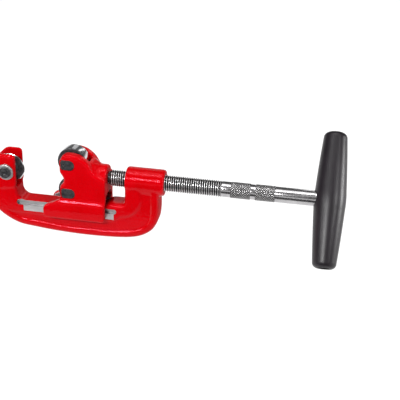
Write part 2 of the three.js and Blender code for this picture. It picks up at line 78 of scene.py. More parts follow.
# ---- frame casting ----
FRAME_HALF = 12.5
FRAME_EDGE = 4.2
HEAD_HALF = 13.5
HEAD_EDGE = 2.2
HEAD_TOP = 19.2
HEAD_RIGHT = -27
FORK_SLOT_HALF = 9.1
BAR_TOP_JAW = -31.6
BAR_TOP_RIGHT = -25
COLUMN_LEFT = 89.3
BOSS_RIGHT = 130.2
BOSS_R = 14
BOSS_EDGE = 3.2
BOSS_BORE_R = 8.95
BORE_CHAMFER = 1.3
RIM_WIDE = 6.6
WEB_DEEP = 1.3
WEB_DEEPER = 0.4  # how much deeper the web is in the column
BEND_X = 85  # centre of the bend between the bar and the column
BEND_Z = -17
BEND_R = 21.8
RAIL_LEFT = -20
RAIL_RIGHT = 78.4
RAIL_TOP = -36.3
RAIL_BOTTOM = -43
RAIL_HALF = 12.1
GROOVE_LEFT = -27
GROOVE_RIGHT = 81.2
GROOVE_TOP = -30.8
GROOVE_HALF = 9.4

# ---- cutting wheel and its pin ----
WHEEL_X = -37
WHEEL_R = 15.8
WHEEL_HUB_R = 8.6
WHEEL_HUB_HALF = 8.8
WHEEL_PIN_R = 4.75
WHEEL_PIN_HEAD_R = 5.9
WHEEL_PIN_WASHER_R = 8.3
WHEEL_POCKET_R = 18.2
WHEEL_PIN_FRONT = -HEAD_HALF - 3.4
WHEEL_PIN_HEAD_BACK = -HEAD_HALF - 1.5
WHEEL_PIN_BACK = HEAD_HALF + 3.2
CLIP_THICK = 1
CLIP_SLACK = 0.3
RUNNING = 0.09  # radial clearance of a piece that turns on a pin
HOLE_SLACK = 0.3  # radial clearance of a pin in its casting

# ---- rollers and their pins ----
ROLLER_X = 32.8
ROLLER_Z = 15.8
ROLLER_R = 15.2
ROLLER_HALF = 7
ROLLER_PIN_R = 4.75
PIN_HEAD_HIGH = 10.6
PIN_HEAD_LEFT = 23.6
PIN_HEAD_RIGHT = 38.1
PIN_SEAT_DEPTH = 2.2

# ---- carriage casting ----
CHEEK_HALF = 17.4
CHEEK_EDGE = 3.6
CHEEK_LEFT = 21.8
ROLLER_SLOT_HALF = 7.6
ROLLER_SLOT_RIGHT = 51.5
SKIRT_HALF = 20.6
SKIRT_INSIDE = 12.9
SKIRT_LEFT = 4.4
SKIRT_RIGHT = 69.7
SKIRT_BOTTOM = -44.6
SOCKET_R = 14
SOCKET_RIGHT = 70
BODY_RIGHT = 70.2
SOCKET_BORE_R = 5.9
SOCKET_FLOOR = 54.5
GIB_LEFT = 14
GIB_RIGHT = 58
GIB_INSIDE = 9.8
GIB_OUTSIDE = 13.6
GIB_SLACK = 0.45
DOWEL_X = 62
DOWEL_R = 2
DOWEL_Y = 6.05
DOWEL_TOP = 9.6

# ---- spindle ----
NOSE_R = 5.3
NOSE_LEFT = 57
NECK_R = 3.9
NECK_LEFT = 59.7
NECK_RIGHT = 64.3
THREAD_LEFT = 72
THREAD_RIGHT = 188.9
THREAD_R = 8.6
THREAD_ROOT_R = 7.35
THREAD_PITCH = 2.31
THREAD_SIDES = 72
SHANK_R = 8.1
KNURL_R = 8.35
KNURLS = ((198.6, 218.7), (223.9, 243.8))
KNURL_DEEP = 0.5
KNURL_PITCH = 2.35
KNURL_STARTS = 20
KNURL_SIDES = 272
SPINDLE_RIGHT = 308.5

# ---- handle ----
HANDLE_X = 299.4
HANDLE_TILT = 35
HANDLE_HALF = 70
HANDLE_MIDDLE_R = 16.25
HANDLE_END_R = 12
HANDLE_CORE_HOLE_R = 5.1
PLUG_R = 7.6


# ---- mesh helpers ----
def mesh_object(name, points, faces):
    """An object from points in millimetres."""
    mesh = bpy.data.meshes.new(name)
    mesh.from_pydata([tuple(c * MM for c in p) for p in points], [], faces)
    mesh.validate()
    made = bpy.data.objects.new(name, mesh)
    bpy.context.scene.collection.objects.link(made)
    tidy_mesh(made)
    return made


def tidy_mesh(made):
    """Merges doubled points and turns every face outwards."""
    work = bmesh.new()
    work.from_mesh(made.data)
    bmesh.ops.remove_doubles(work, verts=work.verts, dist=1e-7)
    bmesh.ops.recalc_face_normals(work, faces=work.faces)
    work.to_mesh(made.data)
    work.free()
    made.data.update()


def with_modifier(made, kind, **settings):
    """Adds one modifier and keeps its result as the mesh."""
    modifier = made.modifiers.new(kind.lower(), kind)
    for key, value in settings.items():
        setattr(modifier, key, value)
    graph = bpy.context.evaluated_depsgraph_get()
    result = bpy.data.meshes.new_from_object(made.evaluated_get(graph))
    made.modifiers.clear()
    old = made.data
    made.data = result
    bpy.data.meshes.remove(old)
    return made


def joined(name, parts):
    """One object from several, which are used up."""
    work = bmesh.new()
    for part in parts:
        work.from_mesh(part.data)
    mesh = bpy.data.meshes.new(name)
    work.to_mesh(mesh)
    work.free()
    for part in parts:
        bpy.data.objects.remove(part)
    made = bpy.data.objects.new(name, mesh)
    bpy.context.scene.collection.objects.link(made)
    return made


def boolean(made, cutters, operation="DIFFERENCE"):
    """Cuts with each cutter in turn and uses the cutters up."""
    for cutter in cutters:
        with_modifier(made, "BOOLEAN", object=cutter, operation=operation, solver="MANIFOLD")
        bpy.data.objects.remove(cutter)
    return made


def cast(name, solids, cutters, voxel, rounds):
    """A casting: solids grown together, rough openings cut, and all edges softened."""
    body = joined(name, solids)
    with_modifier(body, "REMESH", mode="VOXEL", voxel_size=voxel * MM)
    boolean(body, cutters)
    with_modifier(body, "REMESH", mode="VOXEL", voxel_size=voxel * MM)
    with_modifier(body, "SMOOTH", factor=0.5, iterations=rounds)
    return body


def shade(made, sharp_degrees=32):
    """Smooth shading, but for edges sharper than this."""
    for polygon in made.data.polygons:
        polygon.use_smooth = True
    made.data.set_sharp_from_angle(angle=math.radians(sharp_degrees))
    return made


# ---- outlines ----
def rounded_outline(corners, step=5):
    """The outline through corners (a, b, radius), each rounded to its radius."""
    points = []
    for i, (a, b, radius) in enumerate(corners):
        corner = Vector((a, b))
        if not radius:
            points.append(corner)
            continue
        back = (Vector(corners[i - 1][:2]) - corner).normalized()
        ahead = (Vector(corners[(i + 1) % len(corners)][:2]) - corner).normalized()
        opening = back.angle(ahead)
        centre = corner + (back + ahead).normalized() * (radius / math.sin(opening / 2))
        spoke = corner + back * (radius / math.tan(opening / 2)) - centre
        side = 1 if back.x * ahead.y - back.y * ahead.x > 0 else -1
        turn = -side * (math.pi - opening)
        steps = max(2, math.ceil(abs(math.degrees(turn)) / step))
        for k in range(steps + 1):
            angle = turn * k / steps
            cosine, sine = math.cos(angle), math.sin(angle)
            turned_spoke = (spoke.x * cosine - spoke.y * sine, spoke.x * sine + spoke.y * cosine)
            points.append(centre + Vector(turned_spoke))
    return points


def smooth_line(points, pieces):
    """A smooth line through the points, with this many pieces between each two."""
    points = [Vector(p) for p in points]
    line = []
    for i in range(len(points) - 1):
        p1, p2 = points[i], points[i + 1]
        p0 = points[i - 1] if i else p1
        p3 = points[i + 2] if i + 2 < len(points) else p2
        for k in range(pieces):
            t = k / pieces
            v0, v1 = (p2 - p0) / 2, (p3 - p1) / 2
            line.append(
                (2 * t**3 - 3 * t**2 + 1) * p1 + (t**3 - 2 * t**2 + t) * v0
                + (-2 * t**3 + 3 * t**2) * p2 + (t**3 - t**2) * v1
            )
    line.append(points[-1])
    return line


def inset(outline, distance):
    """The outline moved inwards, for outlines that run anticlockwise."""
    moved = []
    for i, point in enumerate(outline):
        before = (point - outline[i - 1]).normalized()
        after = (outline[(i + 1) % len(outline)] - point).normalized()
        along = (before + after).normalized()
        reach = distance / max(0.5, along.dot(after))
        moved.append(point + Vector((-along.y, along.x)) * reach)
    return moved


def area(outline):
    """Positive for outlines that run anticlockwise."""
    return sum(p.x * q.y - q.x * p.y for p, q in zip(outline, outline[1:] + outline[:1])) / 2


def loft(name, rings):
    """A closed solid through rings of the same number of points, with flat ends."""
    count = len(rings[0])
    points = [p for ring in rings for p in ring]
    faces = [list(range(count))[::-1], list(range(len(points) - count, len(points)))]
    for r in range(len(rings) - 1):
        for k in range(count):
            j = (k + 1) % count
            faces.append([r * count + k, r * count + j, (r + 1) * count + j, (r + 1) * count + k])
    return mesh_object(name, points, faces)


def plate(name, outline, half, edge=0, middle=0, steps=5):
    """A plate in the XZ plane about Y = middle, with rounded front and back edges."""
    if area(outline) < 0:
        outline = outline[::-1]
    layers = [(0, half)]
    if edge:
        angles = [math.pi / 2 * k / steps for k in range(steps + 1)]
        layers = [(edge * (1 - math.cos(a)), half - edge + edge * math.sin(a)) for a in angles]
    rings = []
    for sign in (-1, 1):
        for distance, depth in layers[::sign]:
            ring = inset(outline, distance) if distance else outline
            rings.append([(p.x, middle + sign * depth, p.y) for p in ring])
    return loft(name, rings)


def bar_along_x(name, outline, start, end):
    """A bar with its outline in the YZ plane."""
    return loft(name, [[(x, p.x, p.y) for p in outline] for x in (start, end)])


def box(name, low, high):
    """A box between two opposite (x, y, z) corners."""
    corners = [(low[0], low[2]), (high[0], low[2]), (high[0], high[2]), (low[0], high[2])]
    outline = [Vector(corner) for corner in corners]
    return plate(name, outline, (high[1] - low[1]) / 2, middle=(low[1] + high[1]) / 2)


def turned(name, profile, axis="X", centre=(0, 0, 0), sides=128):
    """A turned solid from (radius, station) points. A profile off the axis has to close on itself."""
    points = []
    for k in range(sides):
        cosine = math.cos(2 * math.pi * k / sides)
        sine = math.sin(2 * math.pi * k / sides)
        for radius, at in profile:
            a, b = radius * cosine, radius * sine
            offset = {"X": (at, a, b), "Y": (a, at, b), "Z": (a, b, at)}[axis]
            points.append(tuple(c + o for c, o in zip(centre, offset)))
    count = len(profile)
    faces = []
    for k in range(sides):
        j = (k + 1) % sides
        for i in range(count - 1):
            faces.append([k * count + i, k * count + i + 1, j * count + i + 1, j * count + i])
    return mesh_object(name, points, faces)


def softened(corners, step=20):
    """A profile with each (radius, station, rounding) corner rounded, but for its two ends."""
    ends = [(corners[0][0], corners[0][1], 0), *corners[1:-1], (corners[-1][0], corners[-1][1], 0)]
    return [(p.x, p.y) for p in rounded_outline(ends, step)]


def rod(radius, start, end, chamfer=0.4):
    """The profile of a solid rod."""
    return softened([(0, start, 0), (radius, start, chamfer), (radius, end, chamfer), (0, end, 0)])


def ring(inner, outer, start, end, soft=0.3):
    """The profile of a ring, closed on itself."""
    return softened(
        [
            (inner, (start + end) / 2, 0),
            (inner, start, soft),
            (outer, start, soft),
            (outer, end, soft),
            (inner, end, soft),
            (inner, (start + end) / 2, 0),
        ]
    )


def onto_handle(made):
    """Leans a piece that was made about Z at the origin onto the handle's axis."""
    made.data.transform(Euler((math.radians(-HANDLE_TILT), 0, 0)).to_matrix().to_4x4())
    for vertex in made.data.vertices:
        vertex.co.x += HANDLE_X * MM
    made.data.update()
    return made


# ---- materials ----
def start_material(name):
    """A new material with its nodes, links, shader and the coordinates of the object."""
    material = bpy.data.materials.new(name)
    material.use_nodes = True
    nodes = material.node_tree.nodes
    place = nodes.new("ShaderNodeTexCoord").outputs["Object"]
    return material, nodes, material.node_tree.links, nodes["Principled BSDF"], place


def noise(nodes, links, coordinates, scale, detail=3, stretch=(1, 1, 1)):
    """Noise drawn out along the axes whose stretch is small."""
    mapping = nodes.new("ShaderNodeMapping")
    mapping.inputs["Scale"].default_value = stretch
    links.new(coordinates, mapping.inputs["Vector"])
    texture = nodes.new("ShaderNodeTexNoise")
    texture.inputs["Scale"].default_value = scale
    texture.inputs["Detail"].default_value = detail
    links.new(mapping.outputs["Vector"], texture.inputs["Vector"])
    return texture.outputs["Fac"]


def ramp(nodes, links, value, stops):
    """Stops are (place, grey or colour)."""
    made = nodes.new("ShaderNodeValToRGB")
    elements = made.color_ramp.elements
    while len(elements) < len(stops):
        elements.new(0.5)
    for element, (place, tone) in zip(elements, stops):
        element.position = place
        element.color = (*tone, 1) if isinstance(tone, tuple) else (tone, tone, tone, 1)
    links.new(value, made.inputs["Fac"])
    return made.outputs["Color"]


def mix_colour(nodes, links, amount, first, second):
    """Each of the two is a colour or a socket."""
    made = nodes.new("ShaderNodeMix")
    made.data_type = "RGBA"
    links.new(amount, made.inputs[0])
    for socket, value in ((made.inputs[6], first), (made.inputs[7], second)):
        if isinstance(value, tuple):
            socket.default_value = (*value, 1)
        else:
            links.new(value, socket)
    return made.outputs[2]


def bump(nodes, links, height, distance, below=None):
    """Bumps of a height in millimetres, on top of other bumps where below is given."""
    made = nodes.new("ShaderNodeBump")
    made.inputs["Strength"].default_value = 1
    made.inputs["Distance"].default_value = distance * MM
    links.new(height, made.inputs["Height"])
    if below is not None:
        links.new(below, made.inputs["Normal"])
    return made.outputs["Normal"]


def edge_mask(nodes, links, low, high):
    """White on sharp outer edges."""
    geometry = nodes.new("ShaderNodeNewGeometry")
    return ramp(nodes, links, geometry.outputs["Pointiness"], [(low, 0.0), (high, 1.0)])


def red_paint():
    """Glossy enamel over cast skin: small chips on sharp edges, and dull end faces."""
    material, nodes, links, shader, place = start_material("red_paint")
    patches = noise(nodes, links, place, 45, 2)
    colour = ramp(nodes, links, patches, [(0.3, (0.385, 0.0, 0.001)), (0.7, (0.43, 0.0, 0.002))])
    flakes = noise(nodes, links, place, 900, 2)
    chips = nodes.new("ShaderNodeMath")
    chips.operation = "MULTIPLY"
    links.new(edge_mask(nodes, links, 0.56, 0.62), chips.inputs[0])
    links.new(ramp(nodes, links, flakes, [(0.62, 0.0), (0.7, 1.0)]), chips.inputs[1])
    chipped = mix_colour(nodes, links, chips.outputs[0], colour, (0.12, 0.1, 0.1))
    links.new(chipped, shader.inputs["Base Color"])
    rough = noise(nodes, links, place, 300, 3)
    gloss = ramp(nodes, links, rough, [(0.3, 0.06), (0.7, 0.15)])
    geometry = nodes.new("ShaderNodeNewGeometry")
    facing = nodes.new("ShaderNodeSeparateXYZ")
    links.new(geometry.outputs["True Normal"], facing.inputs[0])
    end_face = ramp(nodes, links, facing.outputs["X"], [(0.6, 0.0), (0.95, 1.0)])
    roughness = mix_colour(nodes, links, end_face, gloss, (0.75, 0.75, 0.75))
    links.new(roughness, shader.inputs["Roughness"])
    shader.inputs["Specular IOR Level"].default_value = 0.3
    shader.inputs["Specular Tint"].default_value = (1, 0.2, 0.3, 1)
    skin = bump(nodes, links, noise(nodes, links, place, 400, 3), 0.26)
    cast_skin = bump(nodes, links, noise(nodes, links, place, 150, 2), 0.25, skin)
    links.new(cast_skin, shader.inputs["Normal"])
    return material


def steel(name, tones, roughness, stretch, scale, depth, metallic=1.0, cloud_scale=120):
    """Steel between two tones, with marks of a depth in mm that run where stretch is small."""
    material, nodes, links, shader, place = start_material(name)
    marks = noise(nodes, links, place, scale, 4, stretch)
    cloud = ramp(nodes, links, noise(nodes, links, place, cloud_scale, 3), [(0.3, 0.0), (0.7, 1.0)])
    links.new(mix_colour(nodes, links, cloud, *tones), shader.inputs["Base Color"])
    dull = ramp(nodes, links, marks, [(0.25, roughness[0]), (0.75, roughness[1])])
    links.new(dull, shader.inputs["Roughness"])
    shader.inputs["Metallic"].default_value = metallic
    links.new(bump(nodes, links, marks, depth), shader.inputs["Normal"])
    return material


def ridged_steel(name, root, crest, lightness):
    """Bright crests over darker grooves, by distance from the spindle's axis; the darker grooves are
    painted shade.
    """
    material, nodes, links, shader, place = start_material(name)
    parts = nodes.new("ShaderNodeSeparateXYZ")
    links.new(place, parts.inputs[0])
    across = nodes.new("ShaderNodeCombineXYZ")
    links.new(parts.outputs["Y"], across.inputs["Y"])
    links.new(parts.outputs["Z"], across.inputs["Z"])
    radius = nodes.new("ShaderNodeVectorMath")
    radius.operation = "LENGTH"
    links.new(across.outputs[0], radius.inputs[0])
    height = nodes.new("ShaderNodeMapRange")
    height.inputs["From Min"].default_value = root * MM
    height.inputs["From Max"].default_value = crest * MM
    links.new(radius.outputs["Value"], height.inputs["Value"])
    # Darker towards the roots: painted shade in the grooves.
    tones = [(0.05, 0.02), (0.6, 0.12 * lightness), (1.0, 0.4 * lightness)]
    tones = [(at, (tone * 1.01, tone * 0.99, tone)) for at, tone in tones]
    colour = ramp(nodes, links, height.outputs[0], tones)
    links.new(colour, shader.inputs["Base Color"])
    dull = ramp(nodes, links, height.outputs[0], [(0.0, 0.6), (1.0, 0.3)])
    links.new(dull, shader.inputs["Roughness"])
    shader.inputs["Metallic"].default_value = 1.0
    links.new(bump(nodes, links, noise(nodes, links, place, 900, 3), 0.03), shader.inputs["Normal"])
    return material


def black_plastic():
    """Satin plastic with a fine grain."""
    material, nodes, links, shader, place = start_material("black_plastic")
    dust = noise(nodes, links, place, 30, 4)
    tones = [(0.3, (0.004, 0.0025, 0.0042)), (0.75, (0.009, 0.006, 0.0092))]
    links.new(ramp(nodes, links, dust, tones), shader.inputs["Base Color"])
    grain = noise(nodes, links, place, 1400, 2)
    links.new(ramp(nodes, links, grain, [(0.3, 0.32), (0.7, 0.44)]), shader.inputs["Roughness"])
    shader.inputs["Specular IOR Level"].default_value = 0.36
    links.new(bump(nodes, links, grain, 0.05), shader.inputs["Normal"])
    return material


PAINT = red_paint()
MILLED = steel(
    "milled_steel",
    tones=((0.48, 0.47, 0.475), (0.58, 0.57, 0.575)),
    roughness=(0.32, 0.46),
    stretch=(1, 1, 12),
    scale=350,
    depth=0.03,
)
POLISHED = steel(
    "polished_steel",
    tones=((0.62, 0.62, 0.63), (0.74, 0.74, 0.76)),
    roughness=(0.1, 0.2),
    stretch=(0.05, 1, 0.05),
    scale=1500,
    depth=0.003,
)
TURNED = steel(
    "turned_steel",
    tones=((0.4, 0.39, 0.4), (0.52, 0.51, 0.52)),
    roughness=(0.14, 0.24),
    stretch=(1, 0.03, 0.03),
    scale=1500,
    depth=0.003,
)
BLACKENED = steel(
    "blackened_steel",
    tones=((0.012, 0.012, 0.014), (0.06, 0.058, 0.062)),
    roughness=(0.3, 0.5),
    stretch=(1, 1, 1),
    scale=500,
    depth=0.2,
    metallic=0.5,
    cloud_scale=330,
)
# Dark steel for the spindle's nose: painted shade where it leaves the carriage's socket.
NOSE_SHADE_STEEL = steel(
    "nose_shade_steel",
    tones=((0.07, 0.07, 0.075), (0.13, 0.13, 0.14)),
    roughness=(0.3, 0.45),
    stretch=(1, 0.05, 1),
    scale=700,
    depth=0.01,
    metallic=0.9,
)
# Darker steel for the frame's groove: painted shade on its floor and roof.
GROOVE_SHADE_STEEL = steel(
    "groove_shade_steel",
    tones=((0.1, 0.095, 0.097), (0.17, 0.165, 0.167)),
    roughness=(0.35, 0.5),
    stretch=(0.1, 1, 1),
    scale=600,
    depth=0.02,
)
THREAD = ridged_steel("thread_steel", THREAD_ROOT_R, THREAD_R, lightness=1.65)
KNURLED = ridged_steel("knurled_steel", KNURL_R - KNURL_DEEP, KNURL_R, lightness=1.2)
PLASTIC = black_plastic()


def finish_piece(made, body, material, nodes=(), sharp=32):
    """Gives a piece a material, unless by_face() has, a body and the nodes it replaces."""
    if not any(made.data.materials):
        made.data.materials.clear()
        made.data.materials.append(material)
    shade(made, sharp)
    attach(made, body)
    if nodes:
        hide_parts(*nodes)
    return made


def by_face(made, materials, pick):
    """Gives each face the material whose number pick() returns for its centre in millimetres."""
    made.data.materials.clear()
    for material in materials:
        made.data.materials.append(material)
    for polygon in made.data.polygons:
        x, y, z = (c / MM for c in polygon.center)
        polygon.material_index = int(pick(x, y, z, polygon.normal))


# ---- frame ----
def frame_outer_edge(pieces=8):
    """The C's outer edge from the boss round to the fork head, as (x, z)."""
    return smooth_line(
        [
            (125.6, 0),
            (125.3, -14),
            (125.8, -27),
            (125.3, -36),
            (123.7, -43.4),
            (117.6, -52.8),
            (104.8, -60.4),
            (85.2, -64),
            (52.4, -65.4),
            (19.3, -64.5),
            (-7.5, -62.2),
            (-28, -58.9),
            (-47.4, -47.4),
            (-58.2, -30.5),
            (-60.7, -12),
            (-59, 2),
            (-57.5, 4),
        ],
        pieces,
    )


def frame_outline():
    """The C with its jaw, closed through the fork head."""
    inside = rounded_outline(
        [
            (HEAD_RIGHT, 8, 0),
            (HEAD_RIGHT, BAR_TOP_JAW, 9),
            (64, BAR_TOP_JAW, 8),
            (73, BAR_TOP_RIGHT, 8),
            (COLUMN_LEFT, BAR_TOP_RIGHT, 3),
            (COLUMN_LEFT, 0, 0),
        ]
    )
    return [*inside, *frame_outer_edge(), Vector((-52, 8))]


def fork_slot():
    """Cutters for the slot that the wheel turns in."""
    half = FORK_SLOT_HALF
    pocket = turned("pocket", rod(WHEEL_POCKET_R, -half, half, 0.5), "Y", (WHEEL_X, 0, 0))
    above = box("above", (-80, -half, 2), (WHEEL_X, half, 40))
    ahead = box("ahead", (WHEEL_X, -half, -WHEEL_POCKET_R), (0, half, 40))
    return [pocket, above, ahead]


def boss():
    """The round boss that the spindle is threaded through."""
    return turned(
        "boss",
        softened(
            [
                (0, COLUMN_LEFT, 0),
                (BOSS_R, COLUMN_LEFT, BOSS_EDGE - 1),
                (BOSS_R, BOSS_RIGHT, BOSS_EDGE - 1),
                (0, BOSS_RIGHT, 0),
            ],
            step=12,
        ),
    )


def rail_cutters():
    """Cutters for the flat face of each rail and for the round-ended groove above it."""
    cutters = []
    far = FRAME_HALF + 3
    end_r = (GROOVE_TOP - RAIL_TOP) / 2 * 0.98
    outline = rounded_outline(
        [
            (GROOVE_LEFT, RAIL_TOP, end_r),
            (GROOVE_RIGHT, RAIL_TOP, end_r),
            (GROOVE_RIGHT, GROOVE_TOP, end_r),
            (GROOVE_LEFT, GROOVE_TOP, end_r),
        ]
    )
    top = RAIL_TOP + 0.5
    for side in (-1, 1):
        low, high = sorted((side * RAIL_HALF, side * far))
        cutters.append(box("rail_face", (RAIL_LEFT, low, RAIL_BOTTOM), (RAIL_RIGHT, high, top)))
        low, high = sorted((side * GROOVE_HALF, side * far))
        cutters.append(plate("groove", outline, (high - low) / 2, middle=(low + high) / 2))
    return cutters


def eased(value):
    """0 below 0, 1 above 1 and smooth between."""
    value = min(1, max(0, value))
    return value * value * (3 - 2 * value)


def sink_web(made):
    """Sinks the shallow web between the thick rail and the rim that follows the outer edge."""
    edge = frame_outer_edge(60)
    tree = kdtree.KDTree(len(edge))
    for i, point in enumerate(edge):
        tree.insert((point.x, point.y, 0), i)
    tree.balance()
    for vertex in made.data.vertices:
        x, y, z = (c / MM for c in vertex.co)
        if abs(y) < FRAME_HALF - 1.5 or z > -6:
            continue
        to_rim = tree.find((x, z, 0))[2]
        if x > BEND_X:
            past_rail = math.hypot(x - BEND_X, z - BEND_Z) - BEND_R
        else:
            past_rail = BEND_Z - BEND_R - z - 6.6 * eased((88 - x) / 14)
        share = eased((to_rim - RIM_WIDE) / 2.4) * eased((past_rail + 2.4) / 5)
        share *= eased((-6 - z) / 6) * eased((x + 48) / 14)
        deep = WEB_DEEP + WEB_DEEPER * eased((x - 84) / 14)
        vertex.co.y -= math.copysign(deep * share * MM, y)


def fork_head():
    outline = rounded_outline(
        [
            (HEAD_RIGHT, -18, 5),
            (HEAD_RIGHT, HEAD_TOP, 4),
            (-44, HEAD_TOP, 9),
            (-59.5, 4, 8),
            (-60.2, -12, 8),
            (-50, -21, 8),
        ]
    )
    return plate("head", outline, HEAD_HALF, HEAD_EDGE)


def boss_bore():
    """Cutter for the boss's bore, chamfered at both ends."""
    wide = BOSS_BORE_R + BORE_CHAMFER
    profile = [
        (0, COLUMN_LEFT - 9, 0),
        (wide, COLUMN_LEFT - 9, 0),
        (wide, COLUMN_LEFT, 0),
        (BOSS_BORE_R, COLUMN_LEFT + BORE_CHAMFER, 0),
        (BOSS_BORE_R, BOSS_RIGHT - BORE_CHAMFER, 0),
        (wide, BOSS_RIGHT, 0),
        (wide, BOSS_RIGHT + 9, 0),
        (0, BOSS_RIGHT + 9, 0),
    ]
    return turned("bore", softened(profile))


def spot_face(radius, start, end):
    """Cutter for the flat ring around the wheel pin's hole."""
    return turned("spot_face", rod(radius, start, end, 0.05), "Y", (WHEEL_X, 0, 0))


def frame_finish(x, y, z, normal):
    """0 where the frame is painted, 1 where it is machined, 2 on the groove's floor and roof, whose
    darker steel is painted shade.
    """
    on_side = GROOVE_HALF - 0.1 < abs(y) < RAIL_HALF + 0.05
    beside_groove = GROOVE_LEFT - 0.2 < x < GROOVE_RIGHT + 0.2
    if on_side and beside_groove and RAIL_TOP - 0.05 < z < GROOVE_TOP + 0.1:
        # The groove's floor and roof take the darker steel, as painted shade.
        return 2 if abs(normal.z) > 0.5 else 1
    beside_rail = RAIL_LEFT - 0.2 < x < RAIL_RIGHT + 0.2
    on_rail = on_side and beside_rail and RAIL_BOTTOM - 0.1 < z < RAIL_TOP
    in_bore = x > COLUMN_LEFT - 3 and math.hypot(y, z) < BOSS_BORE_R + 0.3
    from_pin = math.hypot(x - WHEEL_X, z)
    ring_r = WHEEL_PIN_WASHER_R + 0.4 if y < 0 else WHEEL_PIN_WASHER_R - 1.6
    on_spot = from_pin < ring_r and abs(normal.y) > 0.98 and abs(y) > HEAD_HALF - 0.4
    return on_rail or in_bore or on_spot


def make_frame():
    bar = plate("bar", frame_outline(), FRAME_HALF, FRAME_EDGE)
    body = cast("frame_casting", [bar, fork_head(), boss()], fork_slot(), voxel=0.85, rounds=9)
    sink_web(body)
    cutters = [
        boss_bore(),
        turned("pin_hole", rod(WHEEL_PIN_R + HOLE_SLACK, -40, 40), "Y", (WHEEL_X, 0, 0)),
        spot_face(WHEEL_PIN_WASHER_R + 0.5, -20, -HEAD_HALF + 0.25),
        spot_face(WHEEL_PIN_WASHER_R - 1.5, HEAD_HALF - 0.25, 20),
        *rail_cutters(),
    ]
    boolean(body, cutters)
    by_face(body, [PAINT, MILLED, GROOVE_SHADE_STEEL], frame_finish)
    return finish_piece(body, "frame", PAINT, ["frame"])


# ---- cutting wheel and its pin ----
def make_wheel():
    hub = WHEEL_HUB_HALF
    bore = WHEEL_PIN_R + RUNNING
    half = [
        (bore, hub - 0.5, 0),
        (bore + 0.5, hub, 0),
        (WHEEL_HUB_R, hub, 0.7),
        (WHEEL_HUB_R, 3.4, 0.8),
        (WHEEL_HUB_R + 1.1, 2.2, 0.8),
        (WHEEL_R - 3.2, 1.5, 0.3),
        (WHEEL_R - 0.8, 0.38, 0),
        (WHEEL_R - 0.12, 0.06, 0),
    ]
    right = softened([*half, (WHEEL_R, 0, 0)], step=12)
    left = [(r, -at) for r, at in right[-2::-1]]
    made = turned("cutting_wheel_disc", [*right, *left, right[0]], "Y", (WHEEL_X, 0, 0), sides=160)

    def ground_edge(x, y, z, normal):
        return math.hypot(x - WHEEL_X, z) > WHEEL_R - 0.7

    by_face(made, [BLACKENED, POLISHED], ground_edge)
    return finish_piece(made, "cutting_wheel", POLISHED, ["cutting_wheel"], sharp=20)


def shank_with_groove(radius, to, groove):
    """The far end of a pin: shank, clip groove and chamfered tip."""
    root = radius - 1
    return [
        (radius, groove, 0),
        (root, groove, 0.15),
        (root, groove + CLIP_THICK + 0.6, 0.15),
        (radius, groove + CLIP_THICK + 0.6, 0),
        (radius, to, 0.6),
        (0, to, 0),
    ]


def make_wheel_pin():
    front = WHEEL_PIN_FRONT
    profile = [
        (0, front + 0.35, 0),
        (1.6, front + 0.35, 0.3),
        (2.1, front, 0.2),
        (WHEEL_PIN_HEAD_R, front, 0.9),
        (WHEEL_PIN_HEAD_R, WHEEL_PIN_HEAD_BACK, 0.2),
        (WHEEL_PIN_R, WHEEL_PIN_HEAD_BACK, 0),
        *shank_with_groove(WHEEL_PIN_R, WHEEL_PIN_BACK, HEAD_HALF + CLIP_SLACK),
    ]
    made = turned("wheel_pin_steel", softened(profile), "Y", (WHEEL_X, 0, 0), sides=96)
    finish_piece(made, "frame", BLACKENED, ["wheel_pin"])
    inner = WHEEL_PIN_R + HOLE_SLACK
    profile = ring(inner, WHEEL_PIN_WASHER_R, -HEAD_HALF - 1.3, -HEAD_HALF - 0.2, 0.4)
    washer = turned("wheel_pin_ring", profile, "Y", (WHEEL_X, 0, 0), sides=96)
    finish_piece(washer, "frame", MILLED, ["wheel_pin_washer"])


def make_snap_ring(name, pin_r, x, z, start, body, node):
    """A sprung ring with an open mouth below."""
    mouth = math.radians(22)
    steps = 48
    outline = []
    for radius, turn in ((pin_r + 2, 1), (pin_r - 0.7, -1)):
        for k in range(steps + 1):
            angle = -math.pi / 2 + turn * (mouth + (2 * math.pi - 2 * mouth) * k / steps)
            outline.append(Vector((x + radius * math.cos(angle), z + radius * math.sin(angle))))
    middle = start + CLIP_THICK / 2
    made = plate(name, outline, CLIP_THICK / 2, 0.2, middle, 3)
    return finish_piece(made, body, BLACKENED, [node])


def make_wheel_ring():
    start = HEAD_HALF + CLIP_SLACK + 0.3
    make_snap_ring("wheel_ring", WHEEL_PIN_R, WHEEL_X, 0, start, "frame", "wheel_pin_clip")


# ---- carriage ----
def cheek_outline():
    """The cheeks' outline as (x, z), which runs past the end face and is cut off there."""
    low = rounded_outline(
        [
            (BODY_RIGHT + 6, -26, 0),
            (BODY_RIGHT + 6, 2.6, 0),
            (24, 23.6, 0),
            (CHEEK_LEFT, 19, 4),
            (CHEEK_LEFT, 7, 5),
            (27.4, -1.5, 6),
            (CHEEK_LEFT, -9, 5),
            (CHEEK_LEFT, -26, 0),
        ]
    )
    top = smooth_line(
        [
            (24, 23.6),
            (26.6, 26.3),
            (32, 27.6),
            (38, 26.9),
            (43, 25.4),
            (47, 23.1),
            (51, 19.8),
            (54.2, 15.9),
            (57.4, 10.8),
            (62, 6.6),
            (BODY_RIGHT, 3.6),
            (BODY_RIGHT + 6, 2.6),
        ],
        6,
    )
    return [low[0], *top[::-1], *low[3:]]


